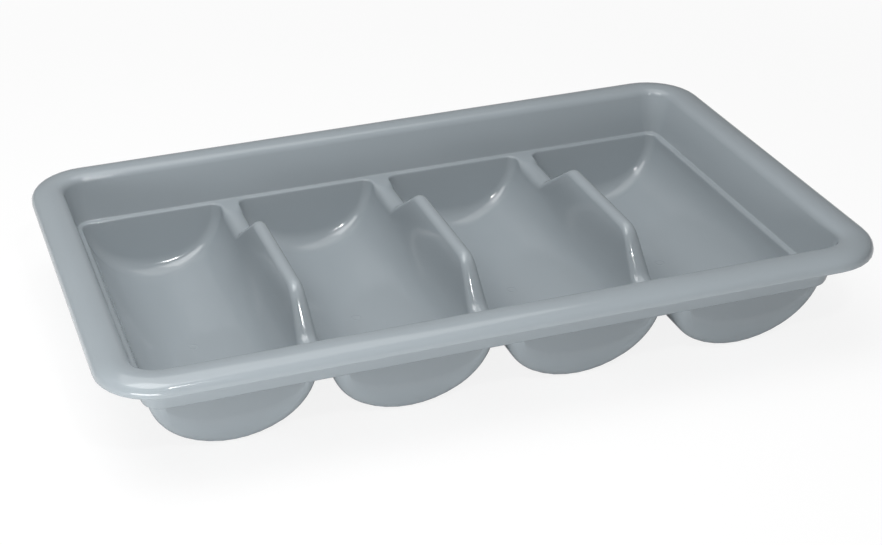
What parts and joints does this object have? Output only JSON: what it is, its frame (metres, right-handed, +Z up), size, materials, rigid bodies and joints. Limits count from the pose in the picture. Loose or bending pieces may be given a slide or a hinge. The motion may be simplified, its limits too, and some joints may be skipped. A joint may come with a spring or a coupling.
{
  "type": "cutlery tray",
  "caption": "Open rectangular cutlery tray with a rolled rim, round-bottomed troughs side by side and hollow dividers that rise to a raised crest in the middle.",
  "frame": {"origin": "centre of the plan at the lowest line of the troughs", "axes": "+X along the long side, +Y from the steep end of the dividers' crests towards the long slope, +Z up"},
  "size_m": [0.53, 0.325, 0.08],
  "materials": {
    "tray": "satin moulded polypropylene"
  },
  "bodies": {
    "root": {"rim": "tray", "side_wall": "tray", "trough_1": "tray", "trough_2": "tray", "trough_3": "tray", "trough_4": "tray", "divider_1": "tray", "divider_2": "tray", "divider_3": "tray"}
  },
  "joints": []
}
